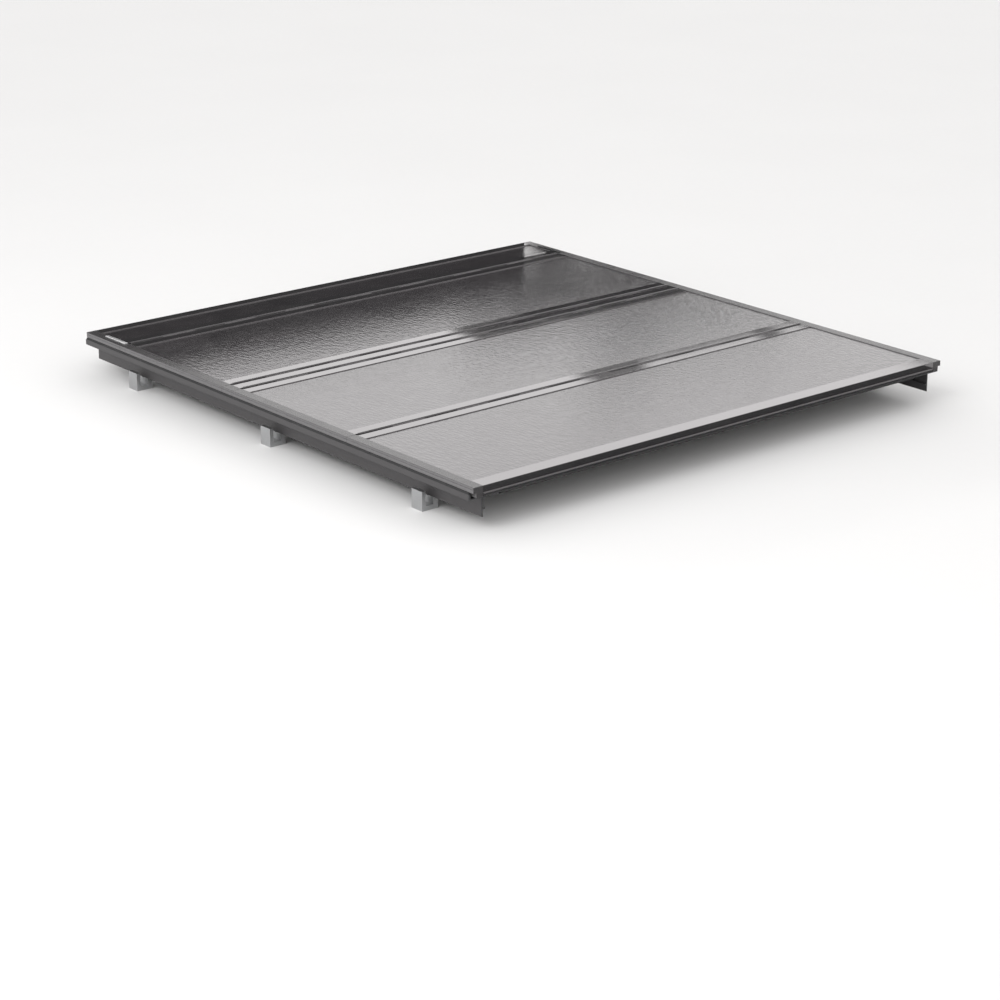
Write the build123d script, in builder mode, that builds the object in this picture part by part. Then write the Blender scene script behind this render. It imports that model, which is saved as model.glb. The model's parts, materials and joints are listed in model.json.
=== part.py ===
"""Hard folding tonneau cover for a pickup bed: a short fixed front panel and three folding panels
on a pair of clamped side rails.

Millimetres. +X is the truck's right, +Y points to the cab and +Z is up. The origin is under the
middle of the cover, level with the lowest point of the rail clamps.
"""
import os
from math import cos, radians, sin, sqrt

from build123d import *

os.makedirs("parts", exist_ok=True)

# ---------------------------------------------------------------- driving dimensions
COVER_WIDTH = 1570.0  # over the side faces of the panels
COVER_LENGTH = 1650.0  # rear face of the last panel to the front face of the fixed panel
LIFT = 112.0  # height of the cover's top over the lowest point of the clamps

PANEL_3_REACH = 477.0  # rear face to the hinge between panels 3 and 2
PANEL_2_REACH = 482.0  # that hinge to the spacer's rear hinge
SPACER_REACH = 46.0  # between the two axes of the double hinge
PANEL_1_REACH = 479.0  # spacer's front hinge to the hinge on the fixed panel

PANEL_THICK = 26.0
LIP = 2.0  # how far the frames stand over the skins
SKIN = 1.5
GROOVE = 9.0  # open groove over each hinge
END_BAR = 33.0  # width of a cross bar
REAR_BAR = 43.0  # width of the bar along the tailgate
SIDE_STRIP = 28.0  # width of a side frame, seen from above
DRIP = 4.0  # how far the drip lip stands out of the rear bar
DRIP_DROP = (18.0, 23.0)  # the lip's upper and lower face below the cover's top
FACE_GROOVE_DROP = 5.0  # shadow groove along the side faces, below the cover's top
FACE_GROOVE_WIDTH = 1.6
FACE_GROOVE_DEPTH = 0.9
BUTT_GAP = 0.4  # open joint where a cross bar meets a side frame
FACE_ROUND = 1.5  # rounding of a side frame's outer top edge
BAR_ROUND = 1.0  # rounding of a cross bar's top edge

HINGE_RISE = 0.5  # hinge axes over the frames' top
KNUCKLE_R = 2.8
KNUCKLE_COUNT = 15
KNUCKLE_PITCH = 100.0
KNUCKLE_GAP = 0.6
PIN_R = 1.3
PIN_CLEARANCE = 0.05

OVERHANG_DEPTH = 14.0  # height of the side face over the rail's lip
OVERHANG = 9.0  # how far the side face stands out past the frame's foot
RAIL_GAP = 4.0  # under the panels, filled by the seat seals
RAIL_WALL = 3.0
RAIL_INNER = 705.0  # inner edge of the rail's flange
RAIL_LIP_DROP = 19.0  # top of the rail's lip below the cover's top
RAIL_LIP = 4.5
RAIL_OUTER = 788.5
WEB_X = 748.0  # inner face of the rail's web
WEB_DROP = 80.0  # lower edge of the web below the cover's top
RAIL_SETBACK = 14.0  # rail's rear end in front of the rear face
RAIL_CAP = 3.0

CLAMP_LENGTH = 40.0
CLAMP_SPACING = 610.0
CLAMP_JAW = 17.0  # room for the bed's flange
ROD_LENGTH = 300.0
ROD_R = 4.0
ROD_X = 655.0
ROD_BEND = 8.0
ROD_PIVOT_REACH = 150.0  # behind the front hinge
RAISED_ANGLE = 75.0  # of the folded stack when the prop rods hold it

FIT = 0.1  # between pieces pushed together
GAP = 0.3  # between pieces that move past each other

# ---------------------------------------------------------------- worked-out places
TOP = LIFT
HALF_WIDTH = COVER_WIDTH / 2
STRIP_INNER = HALF_WIDTH - SIDE_STRIP
BAR_HALF = STRIP_INNER - BUTT_GAP
UNDERSIDE = TOP - PANEL_THICK
AXIS_Z = TOP + HINGE_RISE
Y_REAR = -COVER_LENGTH / 2
Y_C = Y_REAR + PANEL_3_REACH
Y_B2 = Y_C + PANEL_2_REACH
Y_B1 = Y_B2 + SPACER_REACH
Y_A = Y_B1 + PANEL_1_REACH
Y_FRONT = COVER_LENGTH / 2

BAR_WALL = 2.5
BAR_CHAMBER = 14.0  # outer width of the hollow chamber of a cross bar
REAR_CHAMBER = 24.0
SIDE_FLOOR = STRIP_INNER + 8.0  # bottom of the side frame's channel
SIDE_FOOT = HALF_WIDTH - OVERHANG
BOARD_EDGE = 1.0  # room for the board in the channels
HINGE_PLANE_GAP = 0.3  # side frames stop this far from each hinge's plane
KEY_PLATE = 2.5
KEY_LEG = 30.0

FLANGE_TOP = UNDERSIDE - RAIL_GAP
FLANGE_BOTTOM = FLANGE_TOP - RAIL_WALL
RAIL_REAR = Y_REAR + RAIL_SETBACK
RAIL_FRONT = Y_FRONT - RAIL_CAP
WEB_OUTER = WEB_X + RAIL_WALL
LEDGE_Z = TOP - 60.5
LEDGE = 6.0

FRONT_BOLT_X = 738.0
FRONT_BOLT_Y = (Y_A + (GROOVE + BAR_CHAMBER) / 2, Y_FRONT - BAR_CHAMBER / 2)
FRONT_BOLT_R = 2.5
FRONT_BOLT_HEAD = 3.5
FRONT_BOLT_TIP = UNDERSIDE + 11.0
BOLT_END_ROOM = 1.0


def at_y(y):
    """The XZ plane at y. A sketch on it extrudes towards -Y."""
    return Plane.XZ.offset(-y)


def save(piece, name):
    """Label a finished piece and write it."""
    piece.part.label = name
    export_step(piece.part, f"parts/{name}.step")


def block(x_span, y_span, z_span, mode=Mode.ADD):
    """A box between pairs of coordinates, in the open part."""
    spans = [sorted(span) for span in (x_span, y_span, z_span)]
    with Locations([tuple(sum(span) / 2 for span in spans)]):
        Box(*[span[1] - span[0] for span in spans], mode=mode)


def rod_along_x(x_span, y, z, radius, mode=Mode.ADD):
    """A round rod or hole along X, in the open part."""
    with BuildSketch(Plane.YZ.offset(min(x_span))) as section:
        with Locations((y, z)):
            Circle(radius)
    extrude(section.sketch, amount=abs(x_span[1] - x_span[0]), mode=mode)


def rod_along_z(x, y, z_span, radius, mode=Mode.ADD):
    """A round rod or hole along Z, in the open part."""
    with BuildSketch(Plane.XY.offset(min(z_span))) as section:
        with Locations((x, y)):
            Circle(radius)
    extrude(section.sketch, amount=abs(z_span[1] - z_span[0]), mode=mode)


# ---------------------------------------------------------------- panel pieces
def side_outline():
    """Outline of the right side frame: a top strip, a side face over the rail's lip, and a foot."""
    with BuildSketch() as outline:
        with BuildLine():
            Polyline(
                (STRIP_INNER, TOP),
                (HALF_WIDTH, TOP),
                (HALF_WIDTH, TOP - OVERHANG_DEPTH),
                (SIDE_FOOT, TOP - OVERHANG_DEPTH),
                (SIDE_FOOT, UNDERSIDE),
                (STRIP_INNER, UNDERSIDE),
                close=True,
            )
        make_face()
        outer_top = outline.vertices().group_by(Axis.Y)[-1].sort_by(Axis.X)[-1]
        fillet(outer_top, radius=FACE_ROUND)
        with Locations((HALF_WIDTH, TOP - FACE_GROOVE_DROP)):
            Rectangle(2 * FACE_GROOVE_DEPTH, FACE_GROOVE_WIDTH, mode=Mode.SUBTRACT)
    return outline.sketch


def side_frame(y_low, y_high):
    """The right side frame: two hollow chambers and a channel that holds the board's edge."""
    middle = TOP - PANEL_THICK / 2
    foot_chamber = (SIDE_FLOOR + BAR_WALL, SIDE_FOOT - BAR_WALL)
    face_chamber = (SIDE_FOOT, HALF_WIDTH - BAR_WALL)
    with BuildSketch(at_y(y_high)) as section:
        add(side_outline())
        with Locations(((STRIP_INNER + SIDE_FLOOR) / 2, middle)):
            Rectangle(SIDE_FLOOR - STRIP_INNER, PANEL_THICK - 2 * LIP, mode=Mode.SUBTRACT)
        with Locations((sum(foot_chamber) / 2, middle)):
            Rectangle(
                foot_chamber[1] - foot_chamber[0], PANEL_THICK - 2 * BAR_WALL, mode=Mode.SUBTRACT
            )
        with Locations((sum(face_chamber) / 2, TOP - OVERHANG_DEPTH / 2)):
            Rectangle(
                face_chamber[1] - face_chamber[0],
                OVERHANG_DEPTH - 2 * BAR_WALL,
                mode=Mode.SUBTRACT,
            )
    extrude(section.sketch, amount=y_high - y_low)


def corner_key(y_end, inward, bar_face, chamber):
    """A moulded key on the right: an end plate, a block that closes the side channel, a leg in the
    side frame's chamber and a tongue in the cross bar's. inward is +1 at a panel's rear end."""
    y_plate = y_end + inward * KEY_PLATE
    z_chamber = (UNDERSIDE + BAR_WALL + FIT, TOP - BAR_WALL - FIT)
    with BuildSketch(at_y(max(y_end, y_plate))) as plate:
        add(side_outline())
    extrude(plate.sketch, amount=KEY_PLATE)
    block(
        (STRIP_INNER, SIDE_FLOOR - FIT),
        (y_plate, bar_face + inward * chamber),
        (UNDERSIDE + LIP + FIT, TOP - LIP - FIT),
    )
    block(
        (SIDE_FLOOR + BAR_WALL + FIT, SIDE_FOOT - BAR_WALL - FIT),
        (y_plate, y_plate + inward * KEY_LEG),
        z_chamber,
    )
    block(
        (STRIP_INNER - KEY_LEG, STRIP_INNER),
        (bar_face + inward * (BAR_WALL + FIT), bar_face + inward * (chamber - BAR_WALL - FIT)),
        z_chamber,
    )


def knuckles(y_axis, side, first):
    """Every second knuckle of a hinge, each on a web from the bar on the given side of the axis."""
    web = KNUCKLE_R - HINGE_RISE
    for index in range(first, KNUCKLE_COUNT, 2):
        x_start = (index - KNUCKLE_COUNT / 2) * KNUCKLE_PITCH + KNUCKLE_GAP / 2
        with BuildSketch(Plane.YZ.offset(x_start)) as knuckle:
            with Locations((y_axis, AXIS_Z)):
                Circle(KNUCKLE_R)
            with Locations((y_axis + side * GROOVE / 4, AXIS_Z - HINGE_RISE - web / 2)):
                Rectangle(GROOVE / 2, web)
            with Locations((y_axis, AXIS_Z)):
                Circle(PIN_R + PIN_CLEARANCE, mode=Mode.SUBTRACT)
        extrude(knuckle.sketch, amount=KNUCKLE_PITCH - KNUCKLE_GAP)


def cross_bar(y_face, inward, width=END_BAR, chamber=BAR_CHAMBER):
    """A cross bar: a hollow chamber at its outer face and a channel over the board's end."""
    y_tip = y_face + inward * width
    y_floor = y_face + inward * chamber
    with BuildSketch(Plane.YZ.offset(-BAR_HALF)) as section:
        with BuildLine():
            Polyline(
                (y_face, TOP),
                (y_tip, TOP),
                (y_tip, TOP - LIP),
                (y_floor, TOP - LIP),
                (y_floor, UNDERSIDE + LIP),
                (y_tip, UNDERSIDE + LIP),
                (y_tip, UNDERSIDE),
                (y_face, UNDERSIDE),
                close=True,
            )
        make_face()
        top_edges = section.vertices().group_by(Axis.Y)[-1].sort_by(Axis.X)
        fillet(top_edges[0] if inward > 0 else top_edges[-1], radius=BAR_ROUND)
        with Locations(((y_face + y_floor) / 2, TOP - PANEL_THICK / 2)):
            Rectangle(chamber - 2 * BAR_WALL, PANEL_THICK - 2 * BAR_WALL, mode=Mode.SUBTRACT)
    extrude(section.sketch, amount=2 * BAR_HALF)


def bolt_holes(y):
    """A hole on each side for the bolts that hold the fixed panel."""
    for x in (-FRONT_BOLT_X, FRONT_BOLT_X):
        hole_z = (UNDERSIDE, FRONT_BOLT_TIP + BOLT_END_ROOM)
        rod_along_z(x, y, hole_z, FRONT_BOLT_R + PIN_CLEARANCE, Mode.SUBTRACT)


def panel(name, y_rear, y_front, rear_hinge=True, front_hinge=True):
    """The board, frames and corner keys of one panel, between two hinge axes or free ends."""
    rear_width, rear_chamber = (END_BAR, BAR_CHAMBER) if rear_hinge else (REAR_BAR, REAR_CHAMBER)
    rear_face = y_rear + (GROOVE / 2 if rear_hinge else 0)
    front_face = y_front - (GROOVE / 2 if front_hinge else 0)
    rear_end = y_rear + (HINGE_PLANE_GAP if rear_hinge else 0)
    front_end = y_front - (HINGE_PLANE_GAP if front_hinge else 0)
    board_x = (-SIDE_FLOOR + BOARD_EDGE, SIDE_FLOOR - BOARD_EDGE)
    board_y = (rear_face + rear_chamber + BOARD_EDGE, front_face - BAR_CHAMBER - BOARD_EDGE)
    skin_top = TOP - LIP
    skin_foot = UNDERSIDE + LIP

    with BuildPart() as top_skin:
        block(board_x, board_y, (skin_top - SKIN, skin_top))
    save(top_skin, f"{name}_top_skin")

    with BuildPart() as core:
        block(board_x, board_y, (skin_foot + SKIN, skin_top - SKIN))
    save(core, f"{name}_core")

    with BuildPart() as bottom_skin:
        block(board_x, board_y, (skin_foot, skin_foot + SKIN))
    save(bottom_skin, f"{name}_bottom_skin")

    with BuildPart() as frame_rear:
        cross_bar(rear_face, 1, rear_width, rear_chamber)
        if not front_hinge:
            bolt_holes(FRONT_BOLT_Y[0])
        if rear_hinge:
            knuckles(y_rear, 1, 0)
        else:
            block((-BAR_HALF, BAR_HALF), (y_rear - DRIP, y_rear), [TOP - drop for drop in DRIP_DROP])
    save(frame_rear, f"{name}_frame_rear")

    with BuildPart() as frame_front:
        cross_bar(front_face, -1)
        if front_hinge:
            knuckles(y_front, -1, 1)
        else:
            bolt_holes(FRONT_BOLT_Y[1])
    save(frame_front, f"{name}_frame_front")

    with BuildPart() as frame_sides:
        side_frame(rear_end + KEY_PLATE, front_end - KEY_PLATE)
        mirror(about=Plane.YZ)
    save(frame_sides, f"{name}_frame_sides")

    with BuildPart() as corner_keys:
        corner_key(rear_end, 1, rear_face, rear_chamber)
        corner_key(front_end, -1, front_face, BAR_CHAMBER)
        mirror(about=Plane.YZ)
        if not front_hinge:
            for y in FRONT_BOLT_Y:
                bolt_holes(y)
    save(corner_keys, f"{name}_corner_keys")


panel("front_panel", Y_A, Y_FRONT, front_hinge=False)
panel("panel_1", Y_B1, Y_A)
panel("panel_2", Y_C, Y_B2)
panel("panel_3", Y_REAR, Y_C, rear_hinge=False)

# ---------------------------------------------------------------- double hinge
SPACER_FACES = (Y_B2 + GROOVE / 2, Y_B1 - GROOVE / 2)
SPACER_MIDDLE = sum(SPACER_FACES) / 2
SPACER_WIDTH = SPACER_FACES[1] - SPACER_FACES[0]
SPACER_CHAMBER = SPACER_WIDTH - 2 * BAR_WALL

with BuildPart() as spacer_bar:
    with BuildSketch(Plane.YZ.offset(-STRIP_INNER)) as section:
        with Locations((SPACER_MIDDLE, TOP - PANEL_THICK / 2)):
            Rectangle(SPACER_WIDTH, PANEL_THICK)
        fillet(section.vertices().group_by(Axis.Y)[-1], radius=BAR_ROUND)
        with Locations((SPACER_MIDDLE, TOP - PANEL_THICK / 2)):
            Rectangle(SPACER_CHAMBER, PANEL_THICK - 2 * BAR_WALL, mode=Mode.SUBTRACT)
    extrude(amount=2 * STRIP_INNER)
    knuckles(Y_B2, 1, 0)
    knuckles(Y_B1, -1, 1)
save(spacer_bar, "spacer_bar")

with BuildPart() as spacer_end_caps:
    with BuildSketch(at_y(Y_B1 - HINGE_PLANE_GAP)):
        add(side_outline())
    extrude(amount=SPACER_REACH - 2 * HINGE_PLANE_GAP)
    tongue_y = (SPACER_FACES[0] + BAR_WALL + FIT, SPACER_FACES[1] - BAR_WALL - FIT)
    tongue_z = (UNDERSIDE + BAR_WALL + FIT, TOP - BAR_WALL - FIT)
    block((STRIP_INNER - KEY_LEG, STRIP_INNER), tongue_y, tongue_z)
    mirror(about=Plane.YZ)
save(spacer_end_caps, "spacer_end_caps")

PIN_SETBACK = 1.0
PIN_HALF = KNUCKLE_COUNT * KNUCKLE_PITCH / 2 - PIN_SETBACK
for pin_name, axes in (
    ("hinge_pin_front", [Y_A]),
    ("hinge_pin_spacer_front", [Y_B1]),
    ("hinge_pins_panel_2", [Y_B2, Y_C]),
):
    with BuildPart() as hinge_pin:
        for y_axis in axes:
            rod_along_x((-PIN_HALF, PIN_HALF), y_axis, AXIS_Z, PIN_R)
    save(hinge_pin, pin_name)

# ---------------------------------------------------------------- fixed trim and seals
TRIM_WIDTH = 10.0
TRIM_X = (STRIP_INNER + BUTT_GAP, STRIP_INNER + BUTT_GAP + TRIM_WIDTH)
TRIM_LENGTH = 94.0
TRIM_Y = (Y_A + GROOVE / 2, Y_A + GROOVE / 2 + TRIM_LENGTH)
TRIM_RISE = 2.0
TRIM_ROUND = 0.8

with BuildPart() as front_trim_bars:
    block(TRIM_X, TRIM_Y, (TOP, TOP + TRIM_RISE))
    fillet(front_trim_bars.edges().filter_by(Axis.Y).group_by(Axis.Z)[-1], radius=TRIM_ROUND)
    mirror(about=Plane.YZ)
save(front_trim_bars, "front_trim_bars")


SEAL_R = 7.0
SEAL_FOOT = 3.0
SEAL_WALL = 2.5
SEAL_FLAP = 2.0
TAILGATE_SEAL_Y = Y_REAR + 14.0
TAILGATE_SEAL_HALF = STRIP_INNER - 60.0
BULKHEAD_SEAL_Y = Y_FRONT - 16.0
BULKHEAD_SEAL_HALF = RAIL_INNER - 5.0


def bulb_seal(y_middle, x_half, flap=0.0):
    """A hollow D-shaped rubber seal hanging under a cross bar, with an optional forward flap."""
    z_foot = UNDERSIDE - SEAL_FOOT
    with BuildSketch(Plane.YZ.offset(-x_half)) as section:
        with Locations((y_middle, UNDERSIDE - SEAL_FOOT / 2)):
            Rectangle(2 * SEAL_R, SEAL_FOOT)
        with Locations((y_middle, z_foot)):
            Circle(SEAL_R)
        with Locations((y_middle, UNDERSIDE + SEAL_R)):
            Rectangle(2 * SEAL_R, 2 * SEAL_R, mode=Mode.SUBTRACT)
        with Locations((y_middle, z_foot - (SEAL_FOOT - SEAL_WALL))):
            Circle(SEAL_R - SEAL_WALL, mode=Mode.SUBTRACT)
        if flap:
            with Locations((y_middle + flap / 2, UNDERSIDE - SEAL_FLAP / 2)):
                Rectangle(flap, SEAL_FLAP)
    extrude(section.sketch, amount=2 * x_half)


with BuildPart() as tailgate_seal:
    bulb_seal(TAILGATE_SEAL_Y, TAILGATE_SEAL_HALF)
save(tailgate_seal, "tailgate_seal")

with BuildPart() as bulkhead_seal:
    bulb_seal(BULKHEAD_SEAL_Y, BULKHEAD_SEAL_HALF, flap=Y_FRONT + DRIP - BULKHEAD_SEAL_Y)
save(bulkhead_seal, "bulkhead_seal")

# ---------------------------------------------------------------- rails
SEAT_SEAL_X = 748.0
SEAT_SEAL_WIDTH = 12.0
SEAT_SEAL_ROUND = 1.2
SEAT_SEAL_BORE = (8.0, 1.4)
LIP_SEAL_SKIRT = (1.5, 6.0)  # thickness and depth of the skirt inside the rail's lip
LIP_SEAL_SETBACK = 0.5
RAIL_LIP_TOP = TOP - RAIL_LIP_DROP
LIP_INNER = RAIL_OUTER - RAIL_LIP


def rail_outline():
    """The rail's section: a flange under the panels, an outer lip, a web and a clamp ledge."""
    with BuildSketch() as outline:
        with BuildLine():
            Polyline(
                (RAIL_INNER, FLANGE_TOP),
                (LIP_INNER, FLANGE_TOP),
                (LIP_INNER, RAIL_LIP_TOP),
                (RAIL_OUTER, RAIL_LIP_TOP),
                (RAIL_OUTER, FLANGE_BOTTOM),
                (WEB_OUTER, FLANGE_BOTTOM),
                (WEB_OUTER, TOP - WEB_DROP),
                (WEB_X, TOP - WEB_DROP),
                (WEB_X, LEDGE_Z - RAIL_WALL / 2),
                (WEB_X - LEDGE, LEDGE_Z - RAIL_WALL / 2),
                (WEB_X - LEDGE, LEDGE_Z + RAIL_WALL / 2),
                (WEB_X, LEDGE_Z + RAIL_WALL / 2),
                (WEB_X, FLANGE_BOTTOM),
                (RAIL_INNER, FLANGE_BOTTOM),
                close=True,
            )
        make_face()
    return outline.sketch


with BuildPart() as rail_right:
    with BuildSketch(at_y(RAIL_FRONT)):
        add(rail_outline())
        # The lip is a strip of its own along the flange's outer edge.
        with Locations((LIP_INNER - FIT / 2, (FLANGE_BOTTOM + FLANGE_TOP) / 2)):
            Rectangle(FIT, RAIL_WALL, mode=Mode.SUBTRACT)
    extrude(amount=RAIL_FRONT - RAIL_REAR)
    for y in FRONT_BOLT_Y:
        hole_r = FRONT_BOLT_R + PIN_CLEARANCE
        rod_along_z(FRONT_BOLT_X, y, (FLANGE_BOTTOM, FLANGE_TOP), hole_r, Mode.SUBTRACT)
save(rail_right, "rail_right")

with BuildPart() as rail_left:
    add(rail_right.part.mirror(Plane.YZ))
save(rail_left, "rail_left")

with BuildPart() as rail_end_caps:
    for y in (RAIL_FRONT + RAIL_CAP, RAIL_REAR):
        with BuildSketch(at_y(y)):
            add(rail_outline())
        extrude(amount=RAIL_CAP)
    mirror(about=Plane.YZ)
save(rail_end_caps, "rail_end_caps")

with BuildPart() as seat_seals:
    height = RAIL_GAP - GAP
    with BuildSketch(at_y(RAIL_FRONT)):
        with Locations((SEAT_SEAL_X, FLANGE_TOP + height / 2)):
            RectangleRounded(SEAT_SEAL_WIDTH, height, SEAT_SEAL_ROUND)
            SlotOverall(*SEAT_SEAL_BORE, mode=Mode.SUBTRACT)
    extrude(amount=RAIL_FRONT - RAIL_REAR)
    mirror(about=Plane.YZ)
save(seat_seals, "seat_seals")

with BuildPart() as lip_seals:
    seal_top = TOP - OVERHANG_DEPTH - GAP
    seal_x = RAIL_OUTER - LIP_SEAL_SETBACK
    skirt_x = LIP_INNER - LIP_SEAL_SKIRT[0]
    skirt_z = RAIL_LIP_TOP - LIP_SEAL_SKIRT[1]
    with BuildSketch(at_y(RAIL_FRONT)):
        with BuildLine():
            Polyline(
                (seal_x, RAIL_LIP_TOP),
                (seal_x, seal_top),
                (skirt_x, seal_top),
                (skirt_x, skirt_z),
                (LIP_INNER, skirt_z),
                (LIP_INNER, RAIL_LIP_TOP),
                close=True,
            )
        make_face()
    extrude(amount=RAIL_FRONT - RAIL_REAR)
    mirror(about=Plane.YZ)
save(lip_seals, "lip_seals")

with BuildPart() as front_panel_bolts:
    for y in FRONT_BOLT_Y:
        rod_along_z(FRONT_BOLT_X, y, (FLANGE_BOTTOM, FRONT_BOLT_TIP), FRONT_BOLT_R)
        with BuildSketch(Plane.XY.offset(FLANGE_BOTTOM - FRONT_BOLT_HEAD)):
            with Locations((FRONT_BOLT_X, y)):
                RegularPolygon(2 * FRONT_BOLT_R, 6)
        extrude(amount=FRONT_BOLT_HEAD)
    mirror(about=Plane.YZ)
save(front_panel_bolts, "front_panel_bolts")

# ---------------------------------------------------------------- rail clamps
LEG_OUTER = WEB_X - 1.5  # face of the clamp's inner leg
LEG_INNER = WEB_X - 16.0
LEG_TOP = TOP - 50.0
JAW_X = WEB_OUTER + CLAMP_JAW
JAW_OUTER = JAW_X + 11.0
JAW_TOP = TOP - 64.0
BRIDGE = 11.0
CLAMP_BOLT_Z = TOP - 76.0
CLAMP_BOLT_R = 4.0
BOLT_HEAD = 6.4
BOLT_HEAD_R = 7.5
BOLT_STAND = 3.0  # bolt's head off the clamp's leg
PAD = 3.0
PAD_R = 7.0
LEDGE_ROOM = 1.0
TOOTH = 3.0
TOOTH_CORNERS = 9
CLAMP_Y = [n * CLAMP_SPACING for n in (-1, 0, 1)]

with BuildPart() as clamp_bodies:
    jaw_teeth = [
        (JAW_X + (TOOTH / 2 if n % 2 else 0), JAW_TOP - n * TOOTH) for n in range(TOOTH_CORNERS)
    ]
    for y in CLAMP_Y:
        with BuildSketch(at_y(y + CLAMP_LENGTH / 2)):
            with BuildLine():
                Polyline(
                    (LEG_INNER, LEG_TOP),
                    (LEG_OUTER, LEG_TOP),
                    (LEG_OUTER, BRIDGE),
                    (JAW_X, BRIDGE),
                    *reversed(jaw_teeth),
                    (JAW_OUTER, JAW_TOP),
                    (JAW_OUTER, 0),
                    (LEG_INNER, 0),
                    close=True,
                )
            make_face()
            with Locations((LEG_OUTER - LEDGE / 2, LEDGE_Z)):
                Rectangle(LEDGE + LEDGE_ROOM, RAIL_WALL + LEDGE_ROOM, mode=Mode.SUBTRACT)
        extrude(amount=CLAMP_LENGTH)
        bore_r = CLAMP_BOLT_R + PIN_CLEARANCE
        recess_r = PAD_R + LEDGE_ROOM / 2
        rod_along_x((LEG_INNER, LEG_OUTER), y, CLAMP_BOLT_Z, bore_r, Mode.SUBTRACT)
        rod_along_x((LEG_OUTER - PAD, LEG_OUTER), y, CLAMP_BOLT_Z, recess_r, Mode.SUBTRACT)
    mirror(about=Plane.YZ)
save(clamp_bodies, "clamp_bodies")

with BuildPart() as clamp_pads:
    for y in CLAMP_Y:
        rod_along_x((WEB_X - PAD, WEB_X), y, CLAMP_BOLT_Z, PAD_R)
    mirror(about=Plane.YZ)
save(clamp_pads, "clamp_pads")

with BuildPart() as clamp_bolts:
    for y in CLAMP_Y:
        rod_along_x((LEG_INNER - BOLT_STAND, WEB_X - PAD), y, CLAMP_BOLT_Z, CLAMP_BOLT_R)
        with BuildSketch(Plane.YZ.offset(LEG_INNER - BOLT_STAND - BOLT_HEAD)):
            with Locations((y, CLAMP_BOLT_Z)):
                RegularPolygon(BOLT_HEAD_R, 6)
        extrude(amount=BOLT_HEAD)
    mirror(about=Plane.YZ)
save(clamp_bolts, "clamp_bolts")

# ---------------------------------------------------------------- prop rods
PIVOT_Y = Y_A - ROD_PIVOT_REACH
PIVOT_Z = UNDERSIDE - 12.0
PIVOT_PIN_R = 3.0
EYE_R = 7.0
EAR = 5.0
EAR_GAP = 0.5
PIN_HEAD = 2.5
PIN_HEAD_R = 5.0
PRESS_CLEARANCE = 0.01
MOUNT_PLATE = 3.0  # plates of the brackets and clips on the panel's underside
BRACKET_HALF = 20.0
CLIP_REACH = 200.0  # middle of the clip behind the pivot
CLIP_HALF = 6.0
PRONG = 3.0
SOCKET_HALF = 14.0
SOCKET_FLOOR = 14.0  # socket below the rod's axis
SOCKET_ROOM = 3.0
NOTCH_ROOM = 0.6
HOOK_END = ROD_X + 35.0
SOCKET_DEPTH = 46.0  # hooked rod end below the cover's top when the stack is up
EAR_SPANS = [
    (ROD_X - ROD_R - EAR_GAP - EAR, ROD_X - ROD_R - EAR_GAP),
    (ROD_X + ROD_R + EAR_GAP, ROD_X + ROD_R + EAR_GAP + EAR),
]

# Where the raised pivot stands behind and over the front hinge, and where the rod then ends.
pivot_drop = AXIS_Z - PIVOT_Z
tilt = radians(RAISED_ANGLE)
raised_back = ROD_PIVOT_REACH * cos(tilt) + pivot_drop * sin(tilt)
raised_height = ROD_PIVOT_REACH * sin(tilt) - pivot_drop * cos(tilt)
hook_drop = raised_height + SOCKET_DEPTH + HINGE_RISE
SOCKET_Y = Y_A - raised_back - sqrt(ROD_LENGTH**2 - hook_drop**2)
HOOK_Z = TOP - SOCKET_DEPTH

for side_name, side in (("right", 1), ("left", -1)):
    with BuildPart() as prop_rod:
        with BuildLine() as rod_path:
            FilletPolyline(
                (side * ROD_X, PIVOT_Y, PIVOT_Z),
                (side * ROD_X, PIVOT_Y - ROD_LENGTH, PIVOT_Z),
                (side * HOOK_END, PIVOT_Y - ROD_LENGTH, PIVOT_Z),
                radius=ROD_BEND,
            )
        with BuildSketch(at_y(PIVOT_Y)):
            with Locations((side * ROD_X, PIVOT_Z)):
                Circle(ROD_R)
        sweep()
        eye_x = (side * (ROD_X - ROD_R), side * (ROD_X + ROD_R))
        rod_along_x(eye_x, PIVOT_Y, PIVOT_Z, EYE_R)
        rod_along_x(eye_x, PIVOT_Y, PIVOT_Z, PIVOT_PIN_R + PIN_CLEARANCE, Mode.SUBTRACT)
    save(prop_rod, f"prop_rod_{side_name}")

with BuildPart() as prop_rod_brackets:
    plate_z = (UNDERSIDE - MOUNT_PLATE, UNDERSIDE)
    ear_z = (PIVOT_Z, UNDERSIDE - MOUNT_PLATE)
    plate_x = (EAR_SPANS[0][0], EAR_SPANS[1][1])
    block(plate_x, (PIVOT_Y - BRACKET_HALF, PIVOT_Y + BRACKET_HALF), plate_z)
    for span in EAR_SPANS:
        block(span, (PIVOT_Y - EYE_R, PIVOT_Y + EYE_R), ear_z)
        rod_along_x(span, PIVOT_Y, PIVOT_Z, EYE_R)
        rod_along_x(span, PIVOT_Y, PIVOT_Z, PIVOT_PIN_R + PRESS_CLEARANCE, Mode.SUBTRACT)
    mirror(about=Plane.YZ)
save(prop_rod_brackets, "prop_rod_brackets")

with BuildPart() as prop_rod_pins:
    outer = (EAR_SPANS[0][0], EAR_SPANS[1][1])
    rod_along_x(outer, PIVOT_Y, PIVOT_Z, PIVOT_PIN_R)
    rod_along_x((outer[0] - PIN_HEAD, outer[0]), PIVOT_Y, PIVOT_Z, PIN_HEAD_R)
    rod_along_x((outer[1], outer[1] + PIN_HEAD), PIVOT_Y, PIVOT_Z, PIN_HEAD_R)
    mirror(about=Plane.YZ)
save(prop_rod_pins, "prop_rod_pins")

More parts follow.
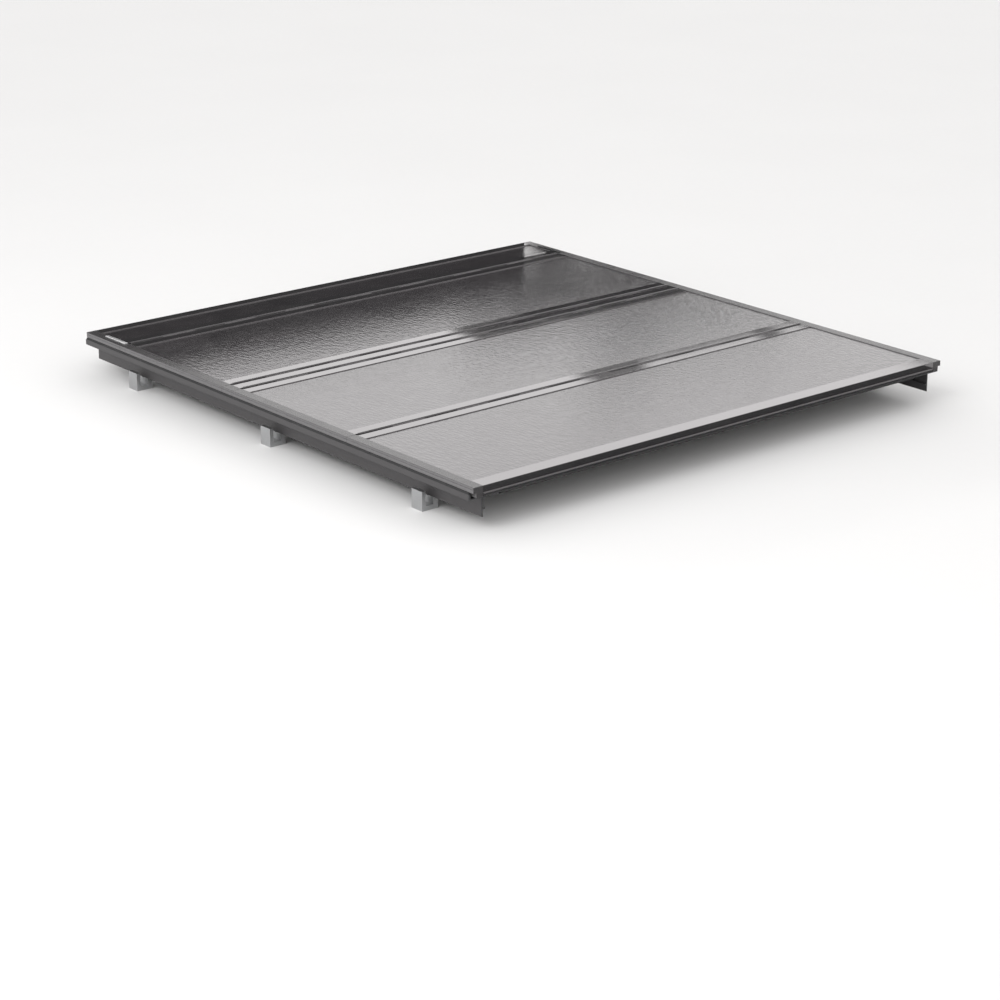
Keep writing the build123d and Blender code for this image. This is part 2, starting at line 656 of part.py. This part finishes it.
with BuildPart() as prop_rod_clips:
    clip_middle = PIVOT_Y - CLIP_REACH
    clip_y = (clip_middle - CLIP_HALF, clip_middle + CLIP_HALF)
    prong_z = (PIVOT_Z - ROD_R, UNDERSIDE - MOUNT_PLATE)
    inside = ROD_R + GAP
    outside = inside + PRONG
    block((ROD_X - outside, ROD_X + outside), clip_y, (UNDERSIDE - MOUNT_PLATE, UNDERSIDE))
    block((ROD_X - outside, ROD_X - inside), clip_y, prong_z)
    block((ROD_X + inside, ROD_X + outside), clip_y, prong_z)
    mirror(about=Plane.YZ)
save(prop_rod_clips, "prop_rod_clips")

with BuildPart() as prop_rod_sockets:
    socket_x = (ROD_X + ROD_R + SOCKET_ROOM, WEB_X - LEDGE - LEDGE_ROOM)
    socket_y = (SOCKET_Y - SOCKET_HALF, SOCKET_Y + SOCKET_HALF)
    notch_x = (socket_x[0], HOOK_END + SOCKET_ROOM)
    notch = ROD_R + NOTCH_ROOM
    block(socket_x, socket_y, (HOOK_Z - SOCKET_FLOOR, FLANGE_BOTTOM))
    block(notch_x, (SOCKET_Y - notch, SOCKET_Y + notch), (HOOK_Z, FLANGE_BOTTOM), Mode.SUBTRACT)
    rod_along_x(notch_x, SOCKET_Y, HOOK_Z, notch, Mode.SUBTRACT)
    mirror(about=Plane.YZ)
save(prop_rod_sockets, "prop_rod_sockets")

# ---------------------------------------------------------------- turn latches under panels 1 and 2
TURN_X = 690.0
TURN_Y = {"panel_1": Y_A - 250.0, "panel_2": Y_B2 - 240.0}
TURN_BASE_R = 14.0
TURN_BASE_Z = UNDERSIDE - 7.0
TURN_SHAFT_R = 5.0
SHAFT_HEAD_R = 7.0
SHAFT_HEAD_Z = UNDERSIDE - 3.2  # underside of the shaft's head
TURN_ARM = 24.0
ARM_HALF = 7.0
ARM_THICK = 5.0
ARM_TOP = FLANGE_BOTTOM - 1.5
HUB_R = 9.0
KNOB_R = 11.0
KNOB_HEIGHT = 14.0
WING = (4.0, 17.0)  # half thickness and half length of the knob's grip


def turn_base(y):
    """The right base of a turn latch, with a counterbore for the shaft's head."""
    bore_r = TURN_SHAFT_R + PIN_CLEARANCE
    rod_along_z(TURN_X, y, (TURN_BASE_Z, UNDERSIDE), TURN_BASE_R)
    rod_along_z(TURN_X, y, (TURN_BASE_Z, UNDERSIDE), bore_r, Mode.SUBTRACT)
    rod_along_z(TURN_X, y, (SHAFT_HEAD_Z - GAP, UNDERSIDE), SHAFT_HEAD_R + GAP, Mode.SUBTRACT)


def turn_latch(y):
    """The right latch: a headed shaft, an arm that points to the rear when open, and a grip."""
    arm_z = (ARM_TOP - ARM_THICK, ARM_TOP)
    knob_z = (ARM_TOP - ARM_THICK - KNOB_HEIGHT, ARM_TOP - ARM_THICK)
    rod_along_z(TURN_X, y, (arm_z[0], UNDERSIDE - GAP), TURN_SHAFT_R)
    rod_along_z(TURN_X, y, (SHAFT_HEAD_Z, UNDERSIDE - GAP), SHAFT_HEAD_R)
    rod_along_z(TURN_X, y, arm_z, HUB_R)
    block((TURN_X - ARM_HALF, TURN_X + ARM_HALF), (y - TURN_ARM, y), arm_z)
    rod_along_z(TURN_X, y, knob_z, KNOB_R)
    block((TURN_X - WING[0], TURN_X + WING[0]), (y - WING[1], y + WING[1]), knob_z)


for name, y in TURN_Y.items():
    with BuildPart() as turn_latch_bases:
        turn_base(y)
        mirror(about=Plane.YZ)
    save(turn_latch_bases, f"{name}_turn_latch_bases")

    with BuildPart() as turn_latch_right:
        turn_latch(y)
    save(turn_latch_right, f"{name}_turn_latch_right")

    with BuildPart() as turn_latch_left:
        add(turn_latch_right.part.mirror(Plane.YZ))
    save(turn_latch_left, f"{name}_turn_latch_left")

# ---------------------------------------------------------------- slide bolts under panel 3
SLIDE_Y = Y_REAR + 70.0
BOLT_TOP = FLANGE_BOTTOM - 1.2
BOLT_THICK = 6.0
BOLT_HALF = 7.0
BOLT_SPAN = (618.0, 702.0)
BOLT_NOSE = 1.5
GRIP = 7.0
GRIP_FOOT = 2.0  # grip below the bolt
GRIP_ROOM = 1.0  # over the grip
HOUSING_SPAN = (640.0, 698.0)
HOUSING_HALF = 14.0
HOUSING_WALL = 2.0

with BuildPart() as slide_bolt_housings:
    housing_y = (SLIDE_Y - HOUSING_HALF, SLIDE_Y + HOUSING_HALF)
    block(HOUSING_SPAN, housing_y, (BOLT_TOP - BOLT_THICK - GAP - HOUSING_WALL, UNDERSIDE))
    block(
        HOUSING_SPAN,
        (SLIDE_Y - BOLT_HALF - GAP, SLIDE_Y + BOLT_HALF + GAP),
        (BOLT_TOP - BOLT_THICK - GAP, BOLT_TOP + GAP),
        Mode.SUBTRACT,
    )
    mirror(about=Plane.YZ)
save(slide_bolt_housings, "slide_bolt_housings")

with BuildPart() as slide_bolt_right:
    bolt_y = (SLIDE_Y - BOLT_HALF, SLIDE_Y + BOLT_HALF)
    block(BOLT_SPAN, bolt_y, (BOLT_TOP - BOLT_THICK, BOLT_TOP))
    grip_z = (BOLT_TOP - BOLT_THICK - GRIP_FOOT, UNDERSIDE - GRIP_ROOM)
    block((BOLT_SPAN[0], BOLT_SPAN[0] + GRIP), bolt_y, grip_z)
    nose = slide_bolt_right.edges().filter_by(Axis.Y).group_by(Axis.X)[-1]
    chamfer(nose, length=BOLT_NOSE)
save(slide_bolt_right, "slide_bolt_right")

with BuildPart() as slide_bolt_left:
    add(slide_bolt_right.part.mirror(Plane.YZ))
save(slide_bolt_left, "slide_bolt_left")
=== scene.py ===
"""Finishes, studio and camera for the hard folding bed cover."""
import json
from math import radians

import bpy
from mathutils import Euler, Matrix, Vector

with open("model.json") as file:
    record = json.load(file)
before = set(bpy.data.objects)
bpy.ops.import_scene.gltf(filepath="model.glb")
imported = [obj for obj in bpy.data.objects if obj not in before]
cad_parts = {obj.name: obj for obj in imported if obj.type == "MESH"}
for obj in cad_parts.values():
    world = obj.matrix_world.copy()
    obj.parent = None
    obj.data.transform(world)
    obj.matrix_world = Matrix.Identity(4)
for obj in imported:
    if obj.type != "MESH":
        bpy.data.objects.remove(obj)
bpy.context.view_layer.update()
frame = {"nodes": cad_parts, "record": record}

TOP = 0.112  # height of the frames' top faces
EDGE_DEPTH = 0.005  # how far below the top faces their rounded edges reach
CAB_Y = 0.87  # where the truck's cab wall would stand
EYE = Vector((-4.3437, -5.1981, 2.0956))
PITCH_DOWN = 19.637
HEADING_RIGHT = 39.749
LENS = 95.69
SENSOR = 36.0
FLOOR = 40.0  # half the floor's side
SKY = 1.9
OVERHEAD = 0.75  # strength of the sky straight overhead
FALL_FROM, FALL_TO = 0.64, 0.90  # sine of the elevation between which the sky dims

scene = bpy.context.scene
scene.view_settings.view_transform = "Standard"


# ---------------------------------------------------------------- node helpers
class Surface:
    """A material built from nodes round one Principled shader."""

    def __init__(self, name, **values):
        self.material = bpy.data.materials.new(name)
        self.material.use_nodes = True
        self.tree = self.material.node_tree
        self.shader = self.tree.nodes["Principled BSDF"]
        own = self.add("ShaderNodeTexCoord").outputs
        self.coordinates = own["Object"]
        self.facing = own["Normal"]
        for socket, value in values.items():
            self.shader.inputs[socket.replace("_", " ")].default_value = value

    def add(self, kind, settings=None, **sockets):
        """A node, with its settings, and its sockets linked or set by name."""
        made = self.tree.nodes.new(kind)
        for key, value in (settings or {}).items():
            setattr(made, key, value)
        for key, value in sockets.items():
            self.put(made.inputs[key.replace("_", " ")], value)
        return made

    def put(self, socket, value):
        if isinstance(value, bpy.types.NodeSocket):
            self.tree.links.new(value, socket)
        else:
            socket.default_value = value

    def math(self, operation, a, b=0.0):
        made = self.add("ShaderNodeMath", {"operation": operation})
        self.put(made.inputs[0], a)
        self.put(made.inputs[1], b)
        return made.outputs[0]

    def stretched(self, scale):
        """Object coordinates scaled along each axis."""
        return self.add("ShaderNodeMapping", Vector=self.coordinates, Scale=scale).outputs[0]

    def noise(self, scale, detail=3.0, roughness=0.5, stretch=None, distortion=0.0):
        where = self.stretched(stretch) if stretch else self.coordinates
        made = self.add(
            "ShaderNodeTexNoise",
            Vector=where,
            Scale=scale,
            Detail=detail,
            Roughness=roughness,
            Distortion=distortion,
        )
        return made.outputs["Fac"]

    def cells(self, scale, stretch=None, feature="SMOOTH_F1", randomness=1.0):
        where = self.stretched(stretch) if stretch else self.coordinates
        flat = bool(stretch) and stretch[2] == 0.0
        made = self.add(
            "ShaderNodeTexVoronoi",
            {"feature": feature, "voronoi_dimensions": "2D" if flat else "3D"},
            Vector=where,
            Scale=scale,
            Randomness=randomness,
        )
        return made.outputs["Distance"]

    def span(self, value, low, high, to_low=0.0, to_high=1.0):
        """value moved from one range to another, and kept inside it."""
        made = self.add(
            "ShaderNodeMapRange",
            Value=value,
            **{
                "From_Min": low,
                "From_Max": high,
                "To_Min": to_low,
                "To_Max": to_high,
            },
        )
        return made.outputs["Result"]

    def mix(self, factor, a, b):
        made = self.add("ShaderNodeMix", {"data_type": "RGBA"})
        self.put(made.inputs[0], factor)
        for socket, value in ((made.inputs[6], a), (made.inputs[7], b)):
            self.put(socket, value if isinstance(value, bpy.types.NodeSocket) else (*value, 1.0))
        return made.outputs[2]

    def edges(self, radius, sharpness=0.08):
        """1 on an edge that hands and weather reach, 0 on a flat face."""
        rounded = self.add("ShaderNodeBevel", {"samples": 4}, Radius=radius).outputs[0]
        plain = self.add("ShaderNodeNewGeometry").outputs["Normal"]
        likeness = self.add("ShaderNodeVectorMath", {"operation": "DOT_PRODUCT"})
        self.put(likeness.inputs[0], rounded)
        self.put(likeness.inputs[1], plain)
        return self.span(likeness.outputs["Value"], 1.0 - sharpness, 1.0, 1.0, 0.0)

    def top_edges(self):
        """1 on the rounded edges round the top faces, 0 elsewhere."""
        tilt = self.add("ShaderNodeSeparateXYZ", Vector=self.facing).outputs["Z"]
        height = self.add("ShaderNodeSeparateXYZ", Vector=self.coordinates).outputs["Z"]
        not_upright = self.span(tilt, 0.1, 0.25)
        not_level = self.span(tilt, 0.90, 0.99, 1.0, 0.0)
        near_top = self.span(height, TOP - EDGE_DEPTH - 0.001, TOP - EDGE_DEPTH)
        return self.math("MULTIPLY", self.math("MULTIPLY", not_upright, not_level), near_top)

    def bump(self, height, distance, strength=1.0, normal=None):
        made = self.add("ShaderNodeBump", Height=height, Distance=distance, Strength=strength)
        if normal is not None:
            self.put(made.inputs["Normal"], normal)
        return made.outputs[0]

    def rounding(self, radius):
        return self.add("ShaderNodeBevel", {"samples": 4}, Radius=radius).outputs[0]

    def finish(self, colour=None, roughness=None, normal=None):
        for name, value in (("Base Color", colour), ("Roughness", roughness), ("Normal", normal)):
            if value is not None:
                self.put(self.shader.inputs[name], value)
        return self.material


def grime(s, scale=6.0):
    """Uneven dust and water marks, 0 to 1."""
    broad = s.math("MULTIPLY", s.noise(scale, 5.0, 0.62), 0.75)
    fine = s.math("MULTIPLY", s.noise(scale * 14.0, 3.0, 0.6), 0.25)
    return s.span(s.math("ADD", broad, fine), 0.38, 0.68)


# ---------------------------------------------------------------- finishes
def panel_skin(name, height, tip_highlight, tint):
    """Powder coat over embossed sheet: long pebbles, fine grain, dust in the low places, and painted
    highlights on the pebbles' tips.
    """
    s = Surface(name, IOR=1.73, Specular_Tint=(1.0, 0.95, 0.97, 1.0))
    flat = (1.0, 1.0, 0.0)
    grain = (1.0, 0.34, 0.0)
    pebbles = s.span(s.cells(100.0, grain, "F1", 0.9), 0.10, 0.60, 1.0, 0.0)
    small = s.span(s.cells(170.0, flat), 0.1, 0.7, 1.0, 0.0)
    highlit_tips = s.math("POWER", pebbles, 2.0)
    waves = s.noise(9.0, 2.0, 0.5, flat)
    emboss = s.math("ADD", pebbles, s.math("MULTIPLY", small, 0.12))
    normal = s.bump(waves, 0.0003)
    normal = s.bump(emboss, height, normal=normal)
    normal = s.bump(s.noise(1900.0, 2.0, 0.6), 0.00003, normal=normal)
    dust = grime(s)
    low = s.span(emboss, 0.35, 1.1, 1.0, 0.0)
    coat = s.mix(s.noise(55.0, 4.0, 0.6), tint, tuple(v * 1.5 for v in tint))
    dusty = s.math("MULTIPLY", dust, s.math("MULTIPLY", low, 0.14))
    colour = s.mix(dusty, coat, (0.12, 0.112, 0.115))
    # painted highlight: the pebbles' tips are coloured lighter, standing in for glints off them
    colour = s.mix(s.math("MULTIPLY", highlit_tips, tip_highlight), colour, (0.10, 0.095, 0.10))
    streaks = s.span(s.noise(30.0, 5.0, 0.65), 0.3, 0.7, 0.16, 0.21)
    return s.finish(colour, s.math("ADD", streaks, s.math("MULTIPLY", dust, 0.04)), normal)


def frame_finish(name, lengthwise, ior, rough, dark=(0.020, 0.0195, 0.0205), side_sheen=0.0):
    """Satin black extrusion: faint die lines along it, rubbed edges, dust, and a painted sheen that
    lightens the faces turned sideways.
    """
    s = Surface(name, IOR=ior, Specular_Tint=(1.0, 0.96, 0.98, 1.0))
    stretch = (2.0, 900.0, 900.0) if lengthwise == "X" else (900.0, 2.0, 900.0)
    lines = s.noise(1.0, 3.0, 0.6, stretch)
    normal = s.bump(lines, 0.0001 * rough, normal=s.rounding(0.0006))
    normal = s.bump(s.noise(700.0, 3.0, 0.6), 0.00004 * rough, normal=normal)
    dust = grime(s, 8.0)
    rubbed = s.math("MULTIPLY", s.edges(0.0009), s.span(s.noise(45.0, 4.0, 0.7), 0.42, 0.70))
    coat = s.mix(s.noise(20.0, 4.0, 0.6), dark, tuple(v * 1.4 for v in dark))
    coat = s.mix(s.math("MULTIPLY", dust, 0.08), coat, (0.13, 0.125, 0.12))
    # painted highlight: faces turned towards ±X get a lighter colour, standing in for the bright
    # reflection on the side frames' flanks
    sideways = s.add("ShaderNodeSeparateXYZ", Vector=s.facing).outputs["X"]
    painted_side_sheen = s.span(s.math("ABSOLUTE", sideways), 0.7, 0.95, 0.0, side_sheen)
    coat = s.mix(painted_side_sheen, coat, (0.15, 0.147, 0.15))
    colour = s.mix(s.math("MULTIPLY", rubbed, 0.40), coat, (0.16, 0.16, 0.165))
    s.put(s.shader.inputs["Specular IOR Level"], s.span(s.top_edges(), 0.0, 1.0, 0.5, 0.1))
    streaks = s.span(lines, 0.3, 0.7, rough, rough * 1.4)
    return s.finish(colour, s.math("ADD", streaks, s.math("MULTIPLY", dust, rough * 0.4)), normal)


def backing_finish():
    """Coil coat on the underside: faint roller pattern and orange peel."""
    s = Surface("underside_coil_coat", Specular_IOR_Level=0.45)
    peel = s.noise(420.0, 2.0, 0.5)
    roller = s.noise(1.0, 2.0, 0.5, (6.0, 300.0, 1.0))
    normal = s.bump(peel, 0.00004)
    normal = s.bump(roller, 0.00002, normal=normal)
    colour = s.mix(s.noise(14.0, 5.0, 0.6), (0.035, 0.036, 0.040), (0.058, 0.058, 0.062))
    colour = s.mix(s.math("MULTIPLY", grime(s, 5.0), 0.25), colour, (0.13, 0.12, 0.11))
    return s.finish(colour, s.span(s.noise(60.0, 4.0, 0.6), 0.3, 0.7, 0.42, 0.58), normal)


def core_finish():
    """Rigid foam with small closed cells."""
    s = Surface("core_foam")
    cells = s.cells(900.0, feature="F1")
    normal = s.bump(s.span(cells, 0.0, 0.7), 0.0004)
    colour = s.mix(s.span(cells, 0.0, 0.6), (0.50, 0.47, 0.40), (0.68, 0.66, 0.59))
    colour = s.mix(s.span(s.noise(25.0, 4.0, 0.6), 0.4, 0.8, 0.0, 0.3), colour, (0.42, 0.36, 0.27))
    return s.finish(colour, s.span(cells, 0.0, 0.7, 0.8, 0.95), normal)


def nylon_finish():
    """Glass-filled nylon with a spark-eroded mould grain and flow marks."""
    s = Surface("moulded_nylon", Specular_IOR_Level=0.45)
    grain = s.noise(1500.0, 3.0, 0.6)
    flow = s.noise(40.0, 3.0, 0.6, (1.0, 0.35, 1.0), 1.5)
    normal = s.bump(grain, 0.00008, normal=s.rounding(0.0005))
    colour = s.mix(flow, (0.018, 0.018, 0.019), (0.036, 0.036, 0.038))
    scuffed = s.math("MULTIPLY", s.edges(0.0008), s.span(s.noise(120.0, 4.0, 0.7), 0.45, 0.75))
    colour = s.mix(s.math("MULTIPLY", scuffed, 0.5), colour, (0.12, 0.12, 0.12))
    return s.finish(colour, s.span(grain, 0.3, 0.7, 0.46, 0.66), normal)


def rubber_finish():
    """EPDM: matte, faintly streaked along its length, with bloom."""
    s = Surface("seal_rubber", Specular_IOR_Level=0.35)
    skin = s.noise(1100.0, 3.0, 0.6)
    streaks = s.noise(1.0, 3.0, 0.6, (40.0, 40.0, 500.0))
    normal = s.bump(skin, 0.00006, normal=s.rounding(0.0004))
    colour = s.mix(streaks, (0.014, 0.014, 0.0145), (0.026, 0.026, 0.027))
    bloom = s.span(s.noise(35.0, 5.0, 0.65), 0.5, 0.8, 0.0, 0.35)
    colour = s.mix(bloom, colour, (0.075, 0.074, 0.072))
    return s.finish(colour, s.span(skin, 0.3, 0.7, 0.68, 0.9), normal)


def zinc_finish():
    """Clear zinc plate: spangle, drawn lines and dull handling marks."""
    s = Surface("zinc_plate", Metallic=1.0)
    spangle = s.cells(420.0, feature="F1")
    drawn = s.noise(1.0, 3.0, 0.6, (350.0, 60.0, 700.0))
    normal = s.bump(drawn, 0.00002, normal=s.rounding(0.0004))
    colour = s.mix(s.span(spangle, 0.0, 0.8), (0.50, 0.50, 0.49), (0.66, 0.66, 0.64))
    colour = s.mix(s.span(s.noise(60.0, 5.0, 0.7), 0.5, 0.8, 0.0, 0.5), colour, (0.40, 0.38, 0.33))
    rough = s.math("ADD", s.span(drawn, 0.3, 0.7, 0.26, 0.40), s.span(spangle, 0.0, 0.8, 0.0, 0.08))
    return s.finish(colour, rough, normal)


def alloy_finish():
    """Mill-finish aluminium extrusion: die lines up the section, dull oxide."""
    s = Surface("mill_alloy", Metallic=1.0)
    die = s.noise(1.0, 3.0, 0.6, (900.0, 3.0, 900.0))
    saw = s.noise(1.0, 2.0, 0.5, (160.0, 1.0, 1400.0))
    normal = s.bump(die, 0.00003, normal=s.rounding(0.0005))
    normal = s.bump(saw, 0.00001, normal=normal)
    colour = s.mix(s.noise(70.0, 5.0, 0.65), (0.36, 0.365, 0.37), (0.48, 0.485, 0.49))
    return s.finish(colour, s.span(die, 0.3, 0.7, 0.34, 0.50), normal)


def trim_finish_shaded_right():
    """Anodised trim, brushed along its length: bright on the left, with painted shade on the right,
    where the bar is coloured near-black.
    """
    s = Surface("bright_trim", Metallic=1.0)
    brushed = s.noise(1.0, 3.0, 0.6, (1500.0, 6.0, 1500.0))
    normal = s.bump(brushed, 0.00002, normal=s.rounding(0.0005))
    bright_coat = s.mix(s.noise(50.0, 4.0, 0.6), (0.84, 0.84, 0.85), (0.92, 0.92, 0.93))
    across = s.add("ShaderNodeSeparateXYZ", Vector=s.coordinates).outputs["X"]
    # painted shade: the bar to the right of the centre line is coloured near-black
    colour = s.mix(s.span(across, -0.1, 0.1), bright_coat, (0.05, 0.05, 0.052))
    return s.finish(colour, s.span(brushed, 0.3, 0.7, 0.38, 0.50), normal)


SKIN_DARK = (0.0175, 0.0165, 0.0175)
skin = panel_skin("textured_panel", 0.00027, 0.16, SKIN_DARK)
front_skin = panel_skin("front_panel_skin", 0.00010, 0.04, SKIN_DARK)
cross_frame = frame_finish("cross_bar_black", "X", 2.3, 0.055)
side_frame = frame_finish("side_frame_black", "Y", 1.32, 0.20, (0.034, 0.033, 0.034), side_sheen=0.75)
rail_frame = frame_finish("rail_black", "Y", 1.55, 0.34, (0.026, 0.0255, 0.0265))
backing = backing_finish()
core = core_finish()
nylon = nylon_finish()
rubber = rubber_finish()
zinc = zinc_finish()
alloy = alloy_finish()
bright = trim_finish_shaded_right()

BY_SLOT = {
    "textured_panel": skin,
    "front_panel_skin": front_skin,
    "panel_backing": backing,
    "panel_core": core,
    "moulded_nylon": nylon,
    "seal_rubber": rubber,
    "zinc_steel": zinc,
    "clamp_alloy": alloy,
    "bright_trim": bright,
}


def black_frame(node):
    """The finish of a black aluminium piece, by which way it runs."""
    if node.startswith("rail_"):
        return rail_frame
    if node.endswith(("frame_rear", "frame_front")) or node == "spacer_bar":
        return cross_frame
    return side_frame


for part in frame["record"]["subparts"]:
    materials = frame["nodes"][part["node"]].data.materials
    materials.clear()
    materials.append(BY_SLOT.get(part["material_slot"]) or black_frame(part["node"]))


# ---------------------------------------------------------------- studio
def mesh_object(name, corners, faces, material):
    mesh = bpy.data.meshes.new(name)
    mesh.from_pydata(corners, [], faces)
    made = bpy.data.objects.new(name, mesh)
    mesh.materials.append(material)
    scene.collection.objects.link(made)
    return made


def floor_finish():
    s = Surface("studio_floor", Specular_IOR_Level=0.2)
    colour = s.mix(s.noise(1.5, 4.0, 0.5), (0.56, 0.56, 0.56), (0.58, 0.58, 0.58))
    return s.finish(colour, s.span(s.noise(40.0, 3.0, 0.5), 0.3, 0.7, 0.7, 0.8))


mesh_object(
    "floor",
    [(-FLOOR, -FLOOR, 0), (FLOOR, -FLOOR, 0), (FLOOR, FLOOR, 0), (-FLOOR, FLOOR, 0)],
    [(0, 1, 2, 3)],
    floor_finish(),
)


def flag(name, corners, shade):
    """A board that only reflections see, such as the cab's wall in front of the cover."""
    board = Surface(name + "_board", Roughness=1.0, Specular_IOR_Level=0.0)
    colour = board.mix(board.noise(3.0), (shade,) * 3, (shade * 1.2,) * 3)
    board.finish(colour)
    made = mesh_object(name, corners, [(0, 1, 3, 2)], board.material)
    made.visible_camera = False
    made.visible_diffuse = False
    made.visible_shadow = False
    made.visible_transmission = False


def upright(x_span, y, z_span):
    return [(x, y, z) for z in z_span for x in x_span]


def level(x_span, y_span, z):
    return [(x, y, z) for y in y_span for x in x_span]


def mirrored(x_span, y_span, depth):
    """Corners of the board at the cab that the camera sees mirrored in a stretch of the top."""
    corners = []
    for y in y_span:
        for x in x_span:
            ahead = (CAB_Y + depth - y) / (y - EYE.y)
            corners.append((x + (x - EYE.x) * ahead, CAB_Y + depth, TOP + (EYE.z - TOP) * ahead))
    return corners


BLACK = 0.010
# What the camera sees mirrored in the top: stretch across, stretch along, depth of the board, shade.
MIRRORED = {
    "front_seam_flag": ((0.55, 0.80), (0.63, 0.69), 0.002, BLACK),
    "double_hinge_flag": ((-0.02, 0.80), (0.08, 0.24), 0.004, BLACK),
    "rear_hinge_flag": ((-0.03, 0.15), (-0.42, -0.275), 0.006, BLACK),
    "rear_hinge_bar_flag": ((0.15, 0.57), (-0.345, -0.285), 0.006, 0.06),
    "rear_hinge_end_flag": ((0.57, 0.66), (-0.42, -0.275), 0.006, BLACK),
    "front_right_flag": ((0.27, 1.0), (0.06, 0.63), 0.020, 0.16),
    "middle_right_flag": ((0.27, 1.0), (-0.34, 0.06), 0.020, 0.70),
    "right_side_flag": ((0.735, 0.84), (-0.85, 0.80), 0.008, BLACK),
}
flag("cab_wall_flag", upright((-0.80, 0.80), CAB_Y, (0.10, 0.31)), BLACK)
for name, (across, along, depth, shade) in MIRRORED.items():
    flag(name, mirrored(across, along, depth), shade)
flag("tailgate_flag", level((-0.80, 0.80), (-1.30, -0.835), 0.080), BLACK)


def studio_world():
    """Even light up to half way up the sky, and less of it straight overhead."""
    world = bpy.data.worlds.new("studio")
    scene.world = world
    world.use_nodes = True
    tree = world.node_tree
    background = tree.nodes["Background"]
    background.inputs["Color"].default_value = (1.0, 0.99, 0.985, 1.0)
    direction = tree.nodes.new("ShaderNodeTexCoord").outputs["Generated"]
    parts = tree.nodes.new("ShaderNodeSeparateXYZ")
    tree.links.new(direction, parts.inputs[0])
    falling = tree.nodes.new("ShaderNodeMapRange")
    tree.links.new(parts.outputs["Z"], falling.inputs["Value"])
    ends = {"From Min": FALL_FROM, "From Max": FALL_TO, "To Min": SKY, "To Max": OVERHEAD}
    for name, value in ends.items():
        falling.inputs[name].default_value = value
    tree.links.new(falling.outputs["Result"], background.inputs["Strength"])


studio_world()


def area_light(name, place, aim, size, power):
    lamp = bpy.data.lights.new(name, "AREA")
    lamp.size = size
    lamp.energy = power
    made = bpy.data.objects.new(name, lamp)
    made.location = place
    made.rotation_euler = (Vector(aim) - Vector(place)).to_track_quat("-Z", "Y").to_euler()
    scene.collection.objects.link(made)


area_light("key", (-3.0, -1.0, 3.0), (0, 0, 0), 3.0, 90.0)

# ---------------------------------------------------------------- camera
camera_data = bpy.data.cameras.new("camera")
camera_data.lens = LENS
camera_data.sensor_width = SENSOR
camera_data.clip_end = 200.0
camera = bpy.data.objects.new("camera", camera_data)
camera.location = EYE
camera.rotation_euler = Euler((radians(90.0 - PITCH_DOWN), 0.0, radians(-HEADING_RIGHT)), "XYZ")
scene.collection.objects.link(camera)
scene.camera = camera
